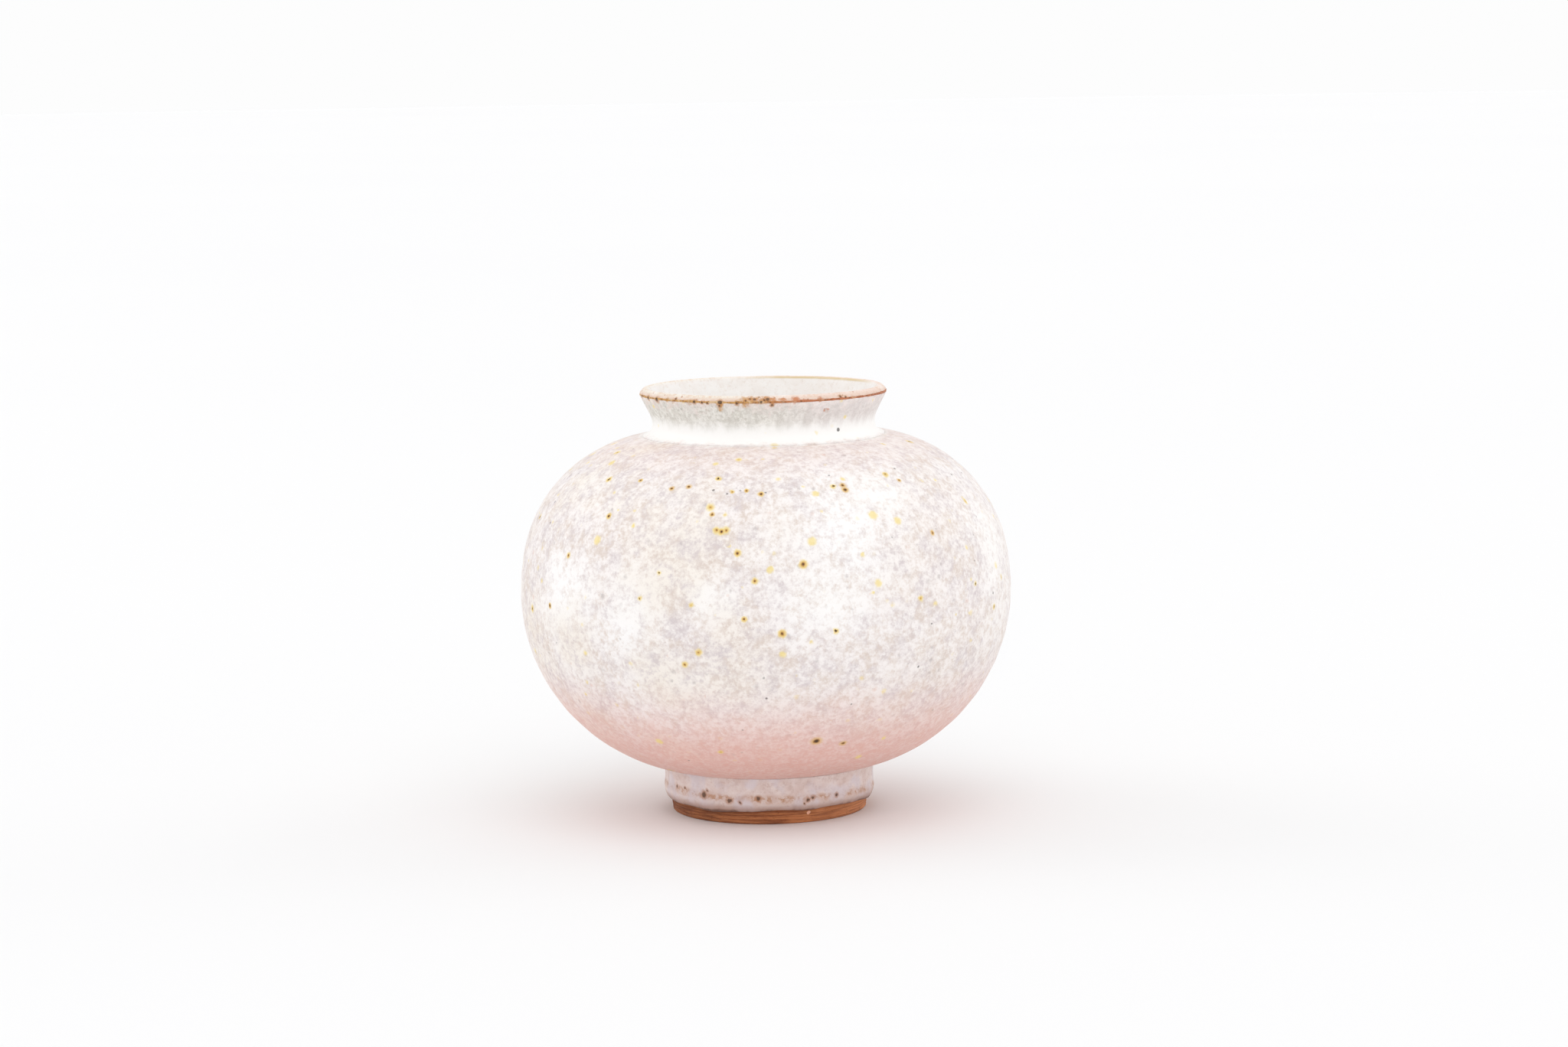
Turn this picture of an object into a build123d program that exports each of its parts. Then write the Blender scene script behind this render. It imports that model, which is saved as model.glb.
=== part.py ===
from build123d import *
from math import acos, atan2, cos, degrees, radians, sin
import os

# Miniature ceramic bud vase: a round belly on a turned foot, with a short flared neck.
# The fired clay is three pieces joined end to end. Glaze coats the outside of each of
# them and lines the inside, and bare clay shows in a band at the lip and at the foot.
# Every piece is turned about +Z from a half section in the XZ plane, in millimetres.
# The origin is the middle of the face that the foot stands on.

# Coats and wall
wall = 2.0  # clay of the belly
glaze = 0.35  # outside coat
liner = 0.25  # inside coat

# Belly, over its glaze: three arcs that run smoothly into each other
belly_radius = 24.0  # at the widest
belly_height = 21.7  # of the widest point
lower_arc = 17.7  # from the foot up to the widest point
flank_arc = 21.3  # just above the widest point
flank_angle = 11.2  # degrees of flank arc before the shoulder takes over
shoulder_arc = 13.9

# Neck and lip, over their glaze
neck_radius = 10.85  # at the narrowest
neck_height = 37.95  # of the narrowest point
neck_curve = 2.4  # arc that turns the neck outwards
flare_angle = 27.0  # degrees between the flare and the vertical
flare_length = 2.0
edge_round = 0.28  # the lip's outer edge, where the glaze breaks and leaves a bare band
band_top_angle = 25.0  # where the bare band ends on that round, in degrees
bevel_angle = 42.0  # direction that the bevel above the edge faces, in degrees
bevel_length = 0.38
crown_round = 0.42  # top of the lip

# Throat, in the clay
throat_radius = 9.3
throat_curve = 2.0  # arc that opens the throat into the flare

# Foot
foot_joint_radius = 10.36  # where its glaze meets the belly's glaze
foot_top_radius = 10.0  # clay under the belly
foot_edge_radius = 9.72  # clay where its glaze ends
foot_edge_height = 1.3
foot_base_radius = 9.5
foot_arris = (10.32, 2.7)  # line where the glaze is thin, between two soft rolls
foot_upper_roll = (10.26, 3.6)
foot_lower_roll = (10.31, 2.0)
foot_glaze_lip = (10.06, 1.42)
rim_inner_radius = 7.4
recess_radius = 7.1
recess_height = 3.2
recess_round = 0.7
rim_round = 0.2  # both edges of the ring that the foot stands on


def polar(centre, radius, angle):
    """Point at a distance and an angle in degrees from a centre."""
    return (centre[0] + radius * cos(radians(angle)), centre[1] + radius * sin(radians(angle)))


def angle_at(radius, centre, arc):
    """Angle above the horizontal at which an arc stands at a radius from the axis."""
    return degrees(acos((radius - centre[0]) / arc))


# Centres and angles that follow from the sizes
lower_centre = (belly_radius - lower_arc, belly_height)
flank_centre = (belly_radius - flank_arc, belly_height)
shoulder_centre = polar(flank_centre, flank_arc - shoulder_arc, flank_angle)
foot_joint_angle = -angle_at(foot_joint_radius, lower_centre, lower_arc)
foot_top_angle = -angle_at(foot_top_radius, lower_centre, lower_arc - glaze)
neck_clay_radius = neck_radius - glaze
seat_angle = angle_at(neck_clay_radius, shoulder_centre, shoulder_arc - glaze)
seat_height = polar(shoulder_centre, shoulder_arc - glaze, seat_angle)[1]

curve_centre = (neck_radius + neck_curve, neck_height)
flare_start = polar(curve_centre, neck_curve, 180 - flare_angle)
flare_end = polar(flare_start, flare_length, 90 - flare_angle)
edge_centre = polar(flare_end, edge_round, 180 - flare_angle)
band_top = polar(edge_centre, edge_round, band_top_angle)
bevel_start = polar(edge_centre, edge_round, bevel_angle)
bevel_end = polar(bevel_start, bevel_length, bevel_angle + 90)
crown_centre = polar(bevel_end, crown_round, bevel_angle + 180)
crown_clay = crown_round - liner  # round of the clay under the liner, at the top of the lip
band_out, band_up = band_top[0] - crown_centre[0], band_top[1] - crown_centre[1]
band_reach = (band_out**2 + band_up**2) ** 0.5
lip_clay_angle = degrees(atan2(band_up, band_out) + acos(crown_clay / band_reach))
lip_inner_angle = 180 - flare_angle

# Round of the glaze pooled in the corner of neck and shoulder, which meets both smoothly
neck_out = neck_radius - shoulder_centre[0]
neck_up = neck_height - shoulder_centre[1]
pool_round = (neck_out**2 + neck_up**2 - shoulder_arc**2) / (2 * (shoulder_arc - neck_out))
pool_angle = degrees(atan2(neck_up, neck_out + pool_round))

turn_round = shoulder_centre[0] - throat_radius  # rounded edge under the throat
turn_centre = (shoulder_centre[0], shoulder_centre[1] + shoulder_arc - glaze - wall + turn_round)
lip_inner = polar(crown_centre, crown_clay, lip_inner_angle)
slope_width = lip_inner[0] - throat_radius - throat_curve * (1 - cos(radians(flare_angle)))
slope_length = slope_width / sin(radians(flare_angle))
slope_start = polar(lip_inner, slope_length, 270 - flare_angle)
throat_centre = polar(slope_start, throat_curve, -flare_angle)


def belly_arcs(depth, low_angle, high_angle):
    """Arcs of the belly, from an angle on the lower one to an angle on the shoulder."""
    CenterArc(lower_centre, lower_arc - depth, low_angle, -low_angle)
    CenterArc(flank_centre, flank_arc - depth, 0, flank_angle)
    CenterArc(shoulder_centre, shoulder_arc - depth, flank_angle, high_angle - flank_angle)


def bowl_edges(skin):
    """Inside surface from the middle of the floor to the throat, a skin above the clay."""
    depth = glaze + wall + skin
    floor_height = belly_height - lower_arc + depth
    Line((0, floor_height), (lower_centre[0], floor_height))
    belly_arcs(depth, -90, 90)
    CenterArc(turn_centre, turn_round + skin, -90, -90)


def mouth_edges(skin):
    """Inside surface from the throat to the lip, a skin above the clay."""
    throat = CenterArc(throat_centre, throat_curve + skin, 180, -flare_angle)
    Line(throat @ 1, polar(crown_centre, crown_clay + skin, lip_inner_angle))


def lip_clay_edges():
    """Clay of the lip under the liner, from the bare band to the inside."""
    turned_in = lip_inner_angle - lip_clay_angle
    crown = CenterArc(crown_centre, crown_clay, lip_clay_angle, turned_in)
    Line(band_top, crown @ 0)


def neck_clay_arc():
    """Clay of the neck under its glaze, which thins to nothing at the bare band."""
    TangentArc((neck_clay_radius, neck_height), flare_end, tangent=(0, 1))


def export(piece, name):
    """Label a finished piece and write it under its own name."""
    piece.part.label = name
    export_step(piece.part, f"parts/{name}.step")


# Foot: a turned disc with a hollowed underside, so that it stands on a narrow ring
with BuildPart() as foot_ring:
    with BuildSketch(Plane.XZ):
        with BuildLine():
            top_height = belly_height - lower_arc + glaze
            Line((0, top_height), (lower_centre[0], top_height))
            seat = CenterArc(lower_centre, lower_arc - glaze, -90, 90 + foot_top_angle)
            Line(seat @ 1, (foot_edge_radius, foot_edge_height))
            FilletPolyline(
                (0, recess_height),
                (recess_radius, recess_height),
                (rim_inner_radius, 0),
                (foot_base_radius, 0),
                (foot_edge_radius, foot_edge_height),
                radius=[recess_round, rim_round, rim_round],
            )
            Line((0, recess_height), (0, top_height))
        make_face()
    revolve(axis=Axis.Z)
export(foot_ring, "foot_ring")

# Belly: the hollow thrown body, closed by its own floor and open at the throat
with BuildPart() as belly:
    with BuildSketch(Plane.XZ):
        with BuildLine():
            belly_arcs(glaze, -90, seat_angle)
            bowl_edges(0)
            Line((0, top_height), (lower_centre[0], top_height))
            Line((0, top_height), (0, top_height + wall))
            Line((throat_radius, turn_centre[1]), (throat_radius, seat_height))
            Line((throat_radius, seat_height), (neck_clay_radius, seat_height))
        make_face()
    revolve(axis=Axis.Z)
export(belly, "belly")

# Neck: the flared collar with its rolled lip, standing on the belly's shoulder
with BuildPart() as neck:
    with BuildSketch(Plane.XZ):
        with BuildLine():
            Line((throat_radius, seat_height), (neck_clay_radius, seat_height))
            Line((neck_clay_radius, seat_height), (neck_clay_radius, neck_height))
            neck_clay_arc()
            CenterArc(edge_centre, edge_round, -flare_angle, flare_angle + band_top_angle)
            lip_clay_edges()
            mouth_edges(0)
            Line((throat_radius, seat_height), (throat_radius, throat_centre[1]))
        make_face()
    revolve(axis=Axis.Z)
export(neck, "neck")

# Glaze on the belly, an even coat from the foot's joint to the pool round the neck
with BuildPart() as belly_glaze:
    with BuildSketch(Plane.XZ):
        with BuildLine():
            belly_arcs(0, foot_joint_angle, pool_angle)
            belly_arcs(glaze, foot_joint_angle, pool_angle)
            for centre, arc, angle in (
                (lower_centre, lower_arc, foot_joint_angle),
                (shoulder_centre, shoulder_arc, pool_angle),
            ):
                Line(polar(centre, arc, angle), polar(centre, arc - glaze, angle))
        make_face()
    revolve(axis=Axis.Z)
export(belly_glaze, "belly_glaze")

# Glaze on the neck, pooled thick where it meets the shoulder and thin under the lip
with BuildPart() as neck_glaze:
    with BuildSketch(Plane.XZ):
        with BuildLine():
            pool_top = polar(shoulder_centre, shoulder_arc, pool_angle)
            pool_bed = polar(shoulder_centre, shoulder_arc - glaze, pool_angle)
            TangentArc((neck_radius, neck_height), pool_top, tangent=(0, -1))
            CenterArc(curve_centre, neck_curve, 180, -flare_angle)
            Line(flare_start, flare_end)
            neck_clay_arc()
            Line((neck_clay_radius, neck_height), (neck_clay_radius, seat_height))
            rest = seat_angle - pool_angle
            CenterArc(shoulder_centre, shoulder_arc - glaze, pool_angle, rest)
            Line(pool_bed, pool_top)
        make_face()
    revolve(axis=Axis.Z)
export(neck_glaze, "neck_glaze")

# Glaze on the foot: two soft rolls with a thin line between them, over a bare clay edge
with BuildPart() as foot_glaze:
    with BuildSketch(Plane.XZ):
        with BuildLine():
            joint_top = polar(lower_centre, lower_arc, foot_joint_angle)
            joint_bed = polar(lower_centre, lower_arc - glaze, foot_joint_angle)
            clay_top = polar(lower_centre, lower_arc - glaze, foot_top_angle)
            ThreePointArc(joint_top, foot_upper_roll, foot_arris)
            ThreePointArc(foot_arris, foot_lower_roll, foot_glaze_lip)
            Line(foot_glaze_lip, (foot_edge_radius, foot_edge_height))
            Line((foot_edge_radius, foot_edge_height), clay_top)
            under = foot_joint_angle - foot_top_angle
            CenterArc(lower_centre, lower_arc - glaze, foot_top_angle, under)
            Line(joint_bed, joint_top)
        make_face()
    revolve(axis=Axis.Z)
export(foot_glaze, "foot_glaze")

# Liner: the glaze poured inside, which covers the floor, the walls, the neck and the lip
with BuildPart() as liner_glaze:
    with BuildSketch(Plane.XZ):
        with BuildLine():
            for skin in (0, liner):
                bowl_edges(skin)
                bore = throat_radius - skin
                Line((bore, turn_centre[1]), (bore, throat_centre[1]))
                mouth_edges(skin)
            CenterArc(edge_centre, edge_round, band_top_angle, bevel_angle - band_top_angle)
            Line(bevel_start, bevel_end)
            CenterArc(crown_centre, crown_round, bevel_angle, lip_inner_angle - bevel_angle)
            lip_clay_edges()
            floor_height = top_height + wall
            Line((0, floor_height), (0, floor_height + liner))
        make_face()
    revolve(axis=Axis.Z)
export(liner_glaze, "liner_glaze")
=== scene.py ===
import math

import bpy
import numpy as np
from mathutils import Matrix, Vector, noise


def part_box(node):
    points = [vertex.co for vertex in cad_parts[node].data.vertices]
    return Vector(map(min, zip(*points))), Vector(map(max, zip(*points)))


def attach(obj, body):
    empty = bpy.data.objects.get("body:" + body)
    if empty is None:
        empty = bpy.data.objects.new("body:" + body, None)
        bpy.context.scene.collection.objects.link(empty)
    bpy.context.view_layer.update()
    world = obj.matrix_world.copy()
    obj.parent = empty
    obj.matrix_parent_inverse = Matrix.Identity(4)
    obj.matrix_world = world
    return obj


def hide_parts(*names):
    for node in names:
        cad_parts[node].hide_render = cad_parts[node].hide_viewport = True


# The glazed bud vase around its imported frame. Lengths here are millimetres, turned to
# metres when a mesh or the camera is made. Only the floor's radius and the camera's
# clipping are given in metres. Angles are degrees. An azimuth is measured round the vase
# from the side that faces the camera, positive to the right.

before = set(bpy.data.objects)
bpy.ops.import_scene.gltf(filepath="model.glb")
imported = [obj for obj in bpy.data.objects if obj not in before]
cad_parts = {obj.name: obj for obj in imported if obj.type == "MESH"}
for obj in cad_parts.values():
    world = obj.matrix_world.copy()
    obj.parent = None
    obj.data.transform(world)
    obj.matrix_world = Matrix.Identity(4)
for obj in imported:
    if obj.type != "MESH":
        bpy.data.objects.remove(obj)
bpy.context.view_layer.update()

MM = 0.001

# Outline of the vase over its glaze, as in the CAD model
belly_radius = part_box("belly_glaze")[1].x / MM
belly_height = 21.7
lower_arc, flank_arc, shoulder_arc = 17.7, 21.3, 13.9
flank_angle = 11.2
wall, glaze, liner = 2.0, 0.35, 0.25

neck_radius, neck_height, neck_curve = 10.85, 37.95, 2.4
flare_angle, flare_length = 27.0, 2.0
edge_round, band_top_angle = 0.28, 25.0
bevel_angle, bevel_length, crown_round = 42.0, 0.38, 0.42
throat_radius, throat_curve = 9.3, 2.0

foot_joint_radius = 10.36
foot_top_radius = 10.0
foot_edge = (9.72, 1.3)
foot_base_radius = 9.5
foot_arris = (10.32, 2.7)
foot_upper_roll = (10.26, 3.6)
foot_lower_roll = (10.31, 2.0)
foot_glaze_lip = (10.06, 1.42)
rim_inner_radius, recess_radius, recess_height = 7.4, 7.1, 3.2

# Hidden ends: the top of the foot's clay, the bottom of the neck's clay and of its glaze's
# back, and the radius where an outline stops just short of the axis
foot_clay_top, neck_clay_seat, neck_glaze_seat = 4.7, 36.7, 36.9
liner_tip, foot_tip = 0.4, 0.3


# ---------------------------------------------------------------- outlines (r, z)

def polar(centre, radius, angle):
    """Point at a distance and an angle from a centre."""
    turn = math.radians(angle)
    return (centre[0] + radius * math.cos(turn), centre[1] + radius * math.sin(turn))


def angle_at(radius, centre, arc):
    """Angle above the horizontal at which an arc stands at a radius from the axis."""
    return math.degrees(math.acos((radius - centre[0]) / arc))


lower_centre = (belly_radius - lower_arc, belly_height)
flank_centre = (belly_radius - flank_arc, belly_height)
shoulder_centre = polar(flank_centre, flank_arc - shoulder_arc, flank_angle)
foot_joint_angle = -angle_at(foot_joint_radius, lower_centre, lower_arc)
curve_centre = (neck_radius + neck_curve, neck_height)
flare_start = polar(curve_centre, neck_curve, 180 - flare_angle)
flare_end = polar(flare_start, flare_length, 90 - flare_angle)
edge_centre = polar(flare_end, edge_round, 180 - flare_angle)
bevel_start = polar(edge_centre, edge_round, bevel_angle)
bevel_end = polar(bevel_start, bevel_length, bevel_angle + 90)
crown_centre = polar(bevel_end, crown_round, bevel_angle + 180)
crown_clay = crown_round - liner
lip_inner_angle = 180 - flare_angle
neck_out, neck_up = neck_radius - shoulder_centre[0], neck_height - shoulder_centre[1]
pool_round = (neck_out ** 2 + neck_up ** 2 - shoulder_arc ** 2) / (2 * (shoulder_arc - neck_out))
pool_angle = math.degrees(math.atan2(neck_up, neck_out + pool_round))
turn_centre = (shoulder_centre[0], shoulder_centre[1] + shoulder_arc - glaze - wall
               + shoulder_centre[0] - throat_radius)
lip_inner = polar(crown_centre, crown_clay, lip_inner_angle)
slope_width = (lip_inner[0] - throat_radius
               - throat_curve * (1 - math.cos(math.radians(flare_angle))))
slope_start = polar(lip_inner, slope_width / math.sin(math.radians(flare_angle)),
                    270 - flare_angle)
throat_centre = polar(slope_start, throat_curve, -flare_angle)


def arc(centre, radius, start, end, count=60):
    """Points along an arc, from one angle to another."""
    turns = np.radians(np.linspace(start, end, count))
    return np.stack([centre[0] + radius * np.cos(turns), centre[1] + radius * np.sin(turns)], 1)


def through(first, middle, last, count=24):
    """Points on a smooth curve through three points."""
    t = np.linspace(0, 1, count)[:, None]
    a, b, c = (np.array(p, float) for p in (first, middle, last))
    return a * (1 - t) * (1 - 2 * t) + b * 4 * t * (1 - t) + c * t * (2 * t - 1)


def belly_line(depth, low_angle, high_angle):
    """The belly's three arcs, a depth under its glazed surface."""
    return np.concatenate([
        arc(lower_centre, lower_arc - depth, low_angle, 0, 120),
        arc(flank_centre, flank_arc - depth, 0, flank_angle, 30)[1:],
        arc(shoulder_centre, shoulder_arc - depth, flank_angle, high_angle, 100)[1:],
    ])


def even(points, step):
    """The same line with points an even distance apart."""
    points = np.asarray(points, float)
    keep = np.r_[True, np.linalg.norm(np.diff(points, axis=0), axis=1) > 1e-9]
    points = points[keep]
    along = np.r_[0, np.cumsum(np.linalg.norm(np.diff(points, axis=0), axis=1))]
    places = np.linspace(0, along[-1], max(2, round(along[-1] / step) + 1))
    return np.stack([np.interp(places, along, points[:, i]) for i in (0, 1)], 1)


def round_axis(azimuth, height, radius):
    """Point at an azimuth, a height and a distance from the axis."""
    side = math.radians(azimuth)
    return (radius * math.sin(side), -radius * math.cos(side), height)


def belly_surface(azimuth, height):
    """Point of the belly's glazed surface at an azimuth and a height."""
    line = belly_line(0, foot_joint_angle, 89)
    return round_axis(azimuth, height, float(np.interp(height, line[:, 1], line[:, 0])))


# ---------------------------------------------------------------- relief of the thrown form

def smooth(value, low, high):
    """0 below low, 1 above high and smooth between them."""
    t = np.clip((np.asarray(value, float) - low) / (high - low), 0, 1)
    return t * t * (3 - 2 * t)


def lumps(points, size, seed=0.0):
    """Smooth noise of a given size in millimetres, from about -1 to 1, at many points."""
    shift = Vector((seed * 13.7, seed * 5.1, seed * 9.3))
    return np.array([noise.noise(Vector(p) / size + shift) for p in points])


# Lines left by the potter's fingers: height, depth, width
THROWING_LINES = ((33.8, 0.035, 0.16), (36.2, 0.03, 0.12), (35.4, 0.018, 0.14),
                  (29.6, 0.014, 0.2), (12.2, 0.016, 0.2), (8.4, 0.014, 0.18))


def thrown(points):
    """Depth of the thrown surface under the true one: rings, lines, waves and glaze skin."""
    x, y, z = points.T
    azimuth = np.arctan2(x, -y)
    waves = 0.03 * (1 + np.sin(2 * azimuth + 0.7)) + 0.012 * (1 + np.sin(3 * azimuth + z / 9))
    swells = 0.030 * (1 + lumps(points, 11.0, 1))
    rings = 0.010 * (1 + np.sin(2 * math.pi * z / 2.6 + azimuth)) * smooth(z, 4, 8)
    skin = 0.010 * (1 + lumps(points, 1.6, 2)) + 0.006 * (1 + lumps(points, 0.7, 3))
    depth = waves + swells + rings + skin
    for height, deep, wide in THROWING_LINES:
        waver = height + 0.10 * np.sin(azimuth + height) + 0.05 * np.sin(3 * azimuth)
        fade = 0.55 + 0.45 * np.sin(2 * azimuth + 2.1 * height)
        depth += deep * fade * np.exp(-(((z - waver) / wide) ** 2))
    return depth


def fired_lip(points):
    """Depth of the lip's bare clay, which is grainy and lies just under the glaze."""
    return (0.045 + 0.018 * lumps(points, 0.9, 6) + 0.012 * lumps(points, 0.4, 7)
            + 0.010 * lumps(points, 4.0, 5))


def lip_skin(points):
    """Depth of the glaze over the lip: thin, grainy, and gone past a ragged line."""
    ragged = points[:, 2] + 0.10 * lumps(points, 1.1, 18) + 0.05 * lumps(points, 0.5, 19)
    outside = smooth(np.hypot(points[:, 0], points[:, 1]), 11.8, 11.95)
    gone = smooth(ragged, 41.12, 41.00) * outside
    return (0.022 + 0.014 * lumps(points, 1.0, 20) + 0.008 * lumps(points, 0.45, 21)
            + 0.08 * gone)


def neck_skin(points):
    """Depth of the neck's glaze: runs down the flare, a soft uneven pool below, and a
    ragged top edge that sinks under the lip's clay."""
    x, y, z = points.T
    azimuth = np.arctan2(x, -y)
    run = np.stack([np.sin(azimuth) * 11, np.cos(azimuth) * 11, z * 0.25], 1)
    ragged = z + 0.05 * lumps(points, 1.2, 22) + 0.03 * lumps(points, 0.5, 23)
    runs = 0.012 * (1 + lumps(run, 0.8, 8)) * smooth(z, 37.6, 38.6)
    coarse = 0.008 * (1 + lumps(points, 1.8, 9))
    fine = 0.005 * (1 + lumps(points, 0.6, 10))
    top_edge = 0.08 * smooth(ragged, 40.82, 40.90)
    return (runs + coarse + fine + top_edge) * smooth(z, 36.5, 37.4)


def foot_skin(points):
    """Depth of the foot's glaze, which is soft and a little lumpy."""
    return (0.018 * (1 + lumps(points, 2.2, 11)) + 0.012 * (1 + lumps(points, 0.9, 12))
            + 0.005 * (1 + lumps(points, 0.4, 13)))


def turned_clay(points):
    """Depth of the foot's bare clay: fine turning lines and a few torn grains."""
    x, y, z = points.T
    azimuth = np.arctan2(x, -y)
    side = smooth(z, 0.12, 0.4)
    lines = (0.018 * (1 + np.sin(2 * math.pi * z / 0.27 + 0.6 * np.sin(azimuth)))
             + 0.02 * np.exp(-(((z - 0.62 - 0.05 * np.sin(azimuth + 1)) / 0.07) ** 2)))
    grain = 0.02 * (1 + lumps(points, 0.5, 14)) + 0.02 * (1 + lumps(points, 1.7, 15))
    return side * (lines + grain)


def smooth_inside(points):
    """Depth of the liner inside: low soft lumps."""
    return 0.02 * (1 + lumps(points, 3.0, 16))


# ---------------------------------------------------------------- turned meshes

def turn(name, front, back, sides, relief=None, warp=None, axis_after=None):
    """A closed turned mesh. The front is the line that shows, with its relief; the back is
    the plain line behind it, from the front's last point round to its first. Both run
    with the solid on their left, seen with r to the right and z up. Where the outline
    meets the axis, after the front or after the back, the mesh closes with two poles."""
    rings = np.concatenate([front, back])
    count = len(rings)
    turns = np.linspace(0, 2 * math.pi, sides, endpoint=False)
    radius = np.repeat(rings[:, 0:1], sides, 1)
    height = np.repeat(rings[:, 1:2], sides, 1)
    if warp is not None:
        radius, height = warp(radius, height, turns[None, :])
    shown = len(front)
    if relief is not None:
        along = np.gradient(front, axis=0)
        along /= np.linalg.norm(along, axis=1)[:, None]
        normal = np.stack([along[:, 1], -along[:, 0]], 1)
        at = np.stack([radius[:shown] * np.sin(turns), -radius[:shown] * np.cos(turns),
                       height[:shown]], 2)
        depth = relief(at.reshape(-1, 3)).reshape(shown, sides)
        radius[:shown] -= normal[:, 0:1] * depth
        height[:shown] -= normal[:, 1:2] * depth
    points = np.stack([radius * np.sin(turns), -radius * np.cos(turns), height], 2)
    vertices = points.reshape(-1, 3) * MM
    ring = np.arange(sides)
    ahead = (ring + 1) % sides
    faces = []
    gap = {"front": shown - 1, "back": count - 1}.get(axis_after)
    for i in range(count):
        if i == gap:
            continue
        j = (i + 1) % count
        quads = np.stack([i * sides + ring, i * sides + ahead, j * sides + ahead,
                          j * sides + ring], 1)
        faces.extend(quads.tolist())
    vertices = vertices.tolist()
    if axis_after:
        for i, flip in ((gap, False), ((gap + 1) % count, True)):
            pole = len(vertices)
            vertices.append((0.0, 0.0, float(height[i].mean()) * MM))
            caps = np.stack([i * sides + ring, i * sides + ahead, np.full(sides, pole)], 1)
            faces.extend((caps[:, ::-1] if flip else caps).tolist())
    mesh = bpy.data.meshes.new(name)
    mesh.from_pydata(vertices, [], faces)
    mesh.polygons.foreach_set("use_smooth", [True] * len(mesh.polygons))
    mesh.update()
    piece = bpy.data.objects.new(name, mesh)
    bpy.context.scene.collection.objects.link(piece)
    return piece


def place(piece, node, material):
    """The piece stands for its CAD node, on the vase's one body, in its own material."""
    piece.data.materials.append(material)
    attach(piece, "root")
    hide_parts(node)


# ---------------------------------------------------------------- materials

def srgb(red, green, blue):
    """A colour given as it looks on a screen, from 0 to 255, as linear light."""
    parts = []
    for part in (red, green, blue):
        part /= 255
        parts.append(part / 12.92 if part <= 0.04045 else ((part + 0.055) / 1.055) ** 2.4)
    return (*parts, 1.0)


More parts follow.
